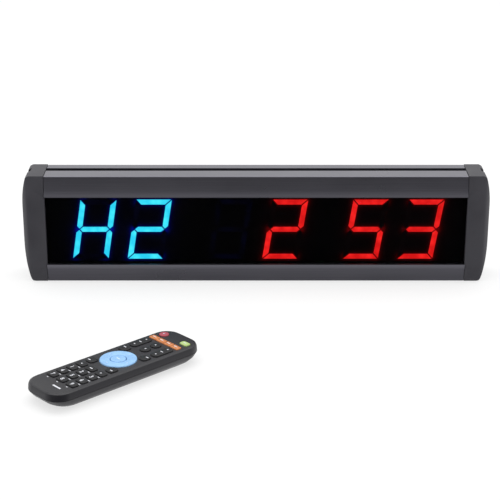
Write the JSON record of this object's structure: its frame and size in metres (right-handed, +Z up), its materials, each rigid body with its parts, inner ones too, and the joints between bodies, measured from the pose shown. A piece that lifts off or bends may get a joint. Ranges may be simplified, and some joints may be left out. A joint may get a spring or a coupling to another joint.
{
  "type": "gym round timer",
  "caption": "Long dark extruded case with slanted seven-segment digits behind a smoked window, T-slotted rails and end caps, with a separate keyed infrared handset.",
  "frame": {"origin": "centre of the display case's underside, on the surface that the display and the handset stand on", "axes": "+X along the case to the reader's right, +Y from the reader towards the back, +Z up"},
  "size_m": [0.4204, 0.3037, 0.1004],
  "materials": {
    "anodised_rail": "brushed dark grey anodised",
    "cap_plastic": "fine-textured dark grey moulding",
    "screw_black": "black zinc plated",
    "smoked_window": "smoked acrylic, polished",
    "cover_black": "black powder coat",
    "circuit_board": "green solder mask",
    "module_black": "matt black face",
    "lens_blue": "diffusing cyan-blue segments",
    "lens_red": "diffusing red segments",
    "component_black": "moulded black",
    "handset_black": "fine-textured charcoal moulding",
    "gloss_black": "polished, dark to visible light",
    "led_clear": "water-clear epoxy",
    "cell_wrap": "printed cell wrap",
    "key_black": "matt silicone",
    "key_red": "matt silicone",
    "key_green": "matt silicone",
    "key_orange": "matt silicone",
    "key_blue": "matt silicone"
  },
  "bodies": {
    "display": {"top_rail": "anodised_rail", "bottom_rail": "anodised_rail", "left_end_cap": "cap_plastic", "right_end_cap": "cap_plastic", "cap_screw_top_left": "screw_black", "cap_screw_top_right": "screw_black", "cap_screw_bottom_left": "screw_black", "cap_screw_bottom_right": "screw_black", "front_window": "smoked_window", "back_cover": "cover_black", "display_board": "circuit_board", "digit_module_left": "module_black", "digit_lens_1": "lens_blue", "digit_lens_2": "lens_blue", "digit_module_middle": "module_black", "digit_lens_3": "lens_blue", "digit_lens_4": "lens_red", "digit_module_right": "module_black", "digit_lens_5": "lens_red", "digit_lens_6": "lens_red", "remote_receiver": "component_black", "buzzer": "component_black", "power_socket": "component_black"},
    "handset": {"handset_rear_shell": "handset_black", "handset_front_shell": "handset_black", "handset_ir_window": "gloss_black", "keypad_board": "circuit_board", "ir_emitter": "led_clear", "battery_left": "cell_wrap", "battery_right": "cell_wrap"},
    "battery_cover": {"battery_cover": "handset_black"},
    "direction_ring": {"direction_ring": "key_blue"},
    "ok_key": {"ok_key": "key_blue"},
    "power_key": {"power_key": "key_red"},
    "green_key": {"green_key": "key_green"},
    "page_up_key": {"page_up_key": "key_black"},
    "page_down_key": {"page_down_key": "key_black"},
    "orange_key_1": {"orange_key_1": "key_orange"},
    "orange_key_2": {"orange_key_2": "key_orange"},
    "orange_key_3": {"orange_key_3": "key_orange"},
    "orange_key_4": {"orange_key_4": "key_orange"},
    "volume_rocker": {"volume_rocker": "key_black"},
    "channel_rocker": {"channel_rocker": "key_black"},
    "upper_left_key": {"upper_left_key": "key_black"},
    "upper_right_key": {"upper_right_key": "key_black"},
    "lower_left_key": {"lower_left_key": "key_black"},
    "lower_right_key": {"lower_right_key": "key_black"},
    "function_key_1": {"function_key_1": "key_black"},
    "function_key_2": {"function_key_2": "key_black"},
    "function_key_3": {"function_key_3": "key_black"},
    "number_key_1": {"number_key_1": "key_black"},
    "number_key_2": {"number_key_2": "key_black"},
    "number_key_3": {"number_key_3": "key_black"},
    "number_key_4": {"number_key_4": "key_black"},
    "number_key_5": {"number_key_5": "key_black"},
    "number_key_6": {"number_key_6": "key_black"},
    "number_key_7": {"number_key_7": "key_black"},
    "number_key_8": {"number_key_8": "key_black"},
    "number_key_9": {"number_key_9": "key_black"}
  },
  "joints": [
    {"name": "handset_lift", "type": "slide", "parent": "display", "child": "handset", "axis": [0, 0, 1], "range_m": [0, 0.12]},
    {"name": "battery_cover_slide", "type": "slide", "parent": "handset", "child": "battery_cover", "axis": [-0.7349, -0.6782, 0], "range_m": [0, 0.066]},
    {"name": "direction_ring_press", "type": "slide", "parent": "handset", "child": "direction_ring", "axis": [0, 0, -1], "range_m": [0, 0.0006], "stiffness_N_per_m": 400},
    {"name": "ok_key_press", "type": "slide", "parent": "handset", "child": "ok_key", "axis": [0, 0, -1], "range_m": [0, 0.0006], "stiffness_N_per_m": 400},
    {"name": "power_key_press", "type": "slide", "parent": "handset", "child": "power_key", "axis": [0, 0, -1], "range_m": [0, 0.0006], "stiffness_N_per_m": 400},
    {"name": "green_key_press", "type": "slide", "parent": "handset", "child": "green_key", "axis": [0, 0, -1], "range_m": [0, 0.0006], "stiffness_N_per_m": 400},
    {"name": "page_up_key_press", "type": "slide", "parent": "handset", "child": "page_up_key", "axis": [0, 0, -1], "range_m": [0, 0.0006], "stiffness_N_per_m": 400},
    {"name": "page_down_key_press", "type": "slide", "parent": "handset", "child": "page_down_key", "axis": [0, 0, -1], "range_m": [0, 0.0006], "stiffness_N_per_m": 400},
    {"name": "orange_key_1_press", "type": "slide", "parent": "handset", "child": "orange_key_1", "axis": [0, 0, -1], "range_m": [0, 0.0006], "stiffness_N_per_m": 400},
    {"name": "orange_key_2_press", "type": "slide", "parent": "handset", "child": "orange_key_2", "axis": [0, 0, -1], "range_m": [0, 0.0006], "stiffness_N_per_m": 400},
    {"name": "orange_key_3_press", "type": "slide", "parent": "handset", "child": "orange_key_3", "axis": [0, 0, -1], "range_m": [0, 0.0006], "stiffness_N_per_m": 400},
    {"name": "orange_key_4_press", "type": "slide", "parent": "handset", "child": "orange_key_4", "axis": [0, 0, -1], "range_m": [0, 0.0006], "stiffness_N_per_m": 400},
    {"name": "volume_rocker_tilt", "type": "hinge", "parent": "handset", "child": "volume_rocker", "pos_m": [-0.09326, -0.1879, 0.0142], "axis": [-0.6782, 0.7349, 0], "range_deg": [-2.5, 2.5], "stiffness_Nm_per_rad": 0.18},
    {"name": "channel_rocker_tilt", "type": "hinge", "parent": "handset", "child": "channel_rocker", "pos_m": [-0.07509, -0.2076, 0.0142], "axis": [-0.6782, 0.7349, 0], "range_deg": [-2.5, 2.5], "stiffness_Nm_per_rad": 0.18},
    {"name": "upper_left_key_press", "type": "slide", "parent": "handset", "child": "upper_left_key", "axis": [0, 0, -1], "range_m": [0, 0.0006], "stiffness_N_per_m": 400},
    {"name": "upper_right_key_press", "type": "slide", "parent": "handset", "child": "upper_right_key", "axis": [0, 0, -1], "range_m": [0, 0.0006], "stiffness_N_per_m": 400},
    {"name": "lower_left_key_press", "type": "slide", "parent": "handset", "child": "lower_left_key", "axis": [0, 0, -1], "range_m": [0, 0.0006], "stiffness_N_per_m": 400},
    {"name": "lower_right_key_press", "type": "slide", "parent": "handset", "child": "lower_right_key", "axis": [0, 0, -1], "range_m": [0, 0.0006], "stiffness_N_per_m": 400},
    {"name": "function_key_1_press", "type": "slide", "parent": "handset", "child": "function_key_1", "axis": [0, 0, -1], "range_m": [0, 0.0006], "stiffness_N_per_m": 400},
    {"name": "function_key_2_press", "type": "slide", "parent": "handset", "child": "function_key_2", "axis": [0, 0, -1], "range_m": [0, 0.0006], "stiffness_N_per_m": 400},
    {"name": "function_key_3_press", "type": "slide", "parent": "handset", "child": "function_key_3", "axis": [0, 0, -1], "range_m": [0, 0.0006], "stiffness_N_per_m": 400},
    {"name": "number_key_1_press", "type": "slide", "parent": "handset", "child": "number_key_1", "axis": [0, 0, -1], "range_m": [0, 0.0006], "stiffness_N_per_m": 400},
    {"name": "number_key_2_press", "type": "slide", "parent": "handset", "child": "number_key_2", "axis": [0, 0, -1], "range_m": [0, 0.0006], "stiffness_N_per_m": 400},
    {"name": "number_key_3_press", "type": "slide", "parent": "handset", "child": "number_key_3", "axis": [0, 0, -1], "range_m": [0, 0.0006], "stiffness_N_per_m": 400},
    {"name": "number_key_4_press", "type": "slide", "parent": "handset", "child": "number_key_4", "axis": [0, 0, -1], "range_m": [0, 0.0006], "stiffness_N_per_m": 400},
    {"name": "number_key_5_press", "type": "slide", "parent": "handset", "child": "number_key_5", "axis": [0, 0, -1], "range_m": [0, 0.0006], "stiffness_N_per_m": 400},
    {"name": "number_key_6_press", "type": "slide", "parent": "handset", "child": "number_key_6", "axis": [0, 0, -1], "range_m": [0, 0.0006], "stiffness_N_per_m": 400},
    {"name": "number_key_7_press", "type": "slide", "parent": "handset", "child": "number_key_7", "axis": [0, 0, -1], "range_m": [0, 0.0006], "stiffness_N_per_m": 400},
    {"name": "number_key_8_press", "type": "slide", "parent": "handset", "child": "number_key_8", "axis": [0, 0, -1], "range_m": [0, 0.0006], "stiffness_N_per_m": 400},
    {"name": "number_key_9_press", "type": "slide", "parent": "handset", "child": "number_key_9", "axis": [0, 0, -1], "range_m": [0, 0.0006], "stiffness_N_per_m": 400}
  ]
}
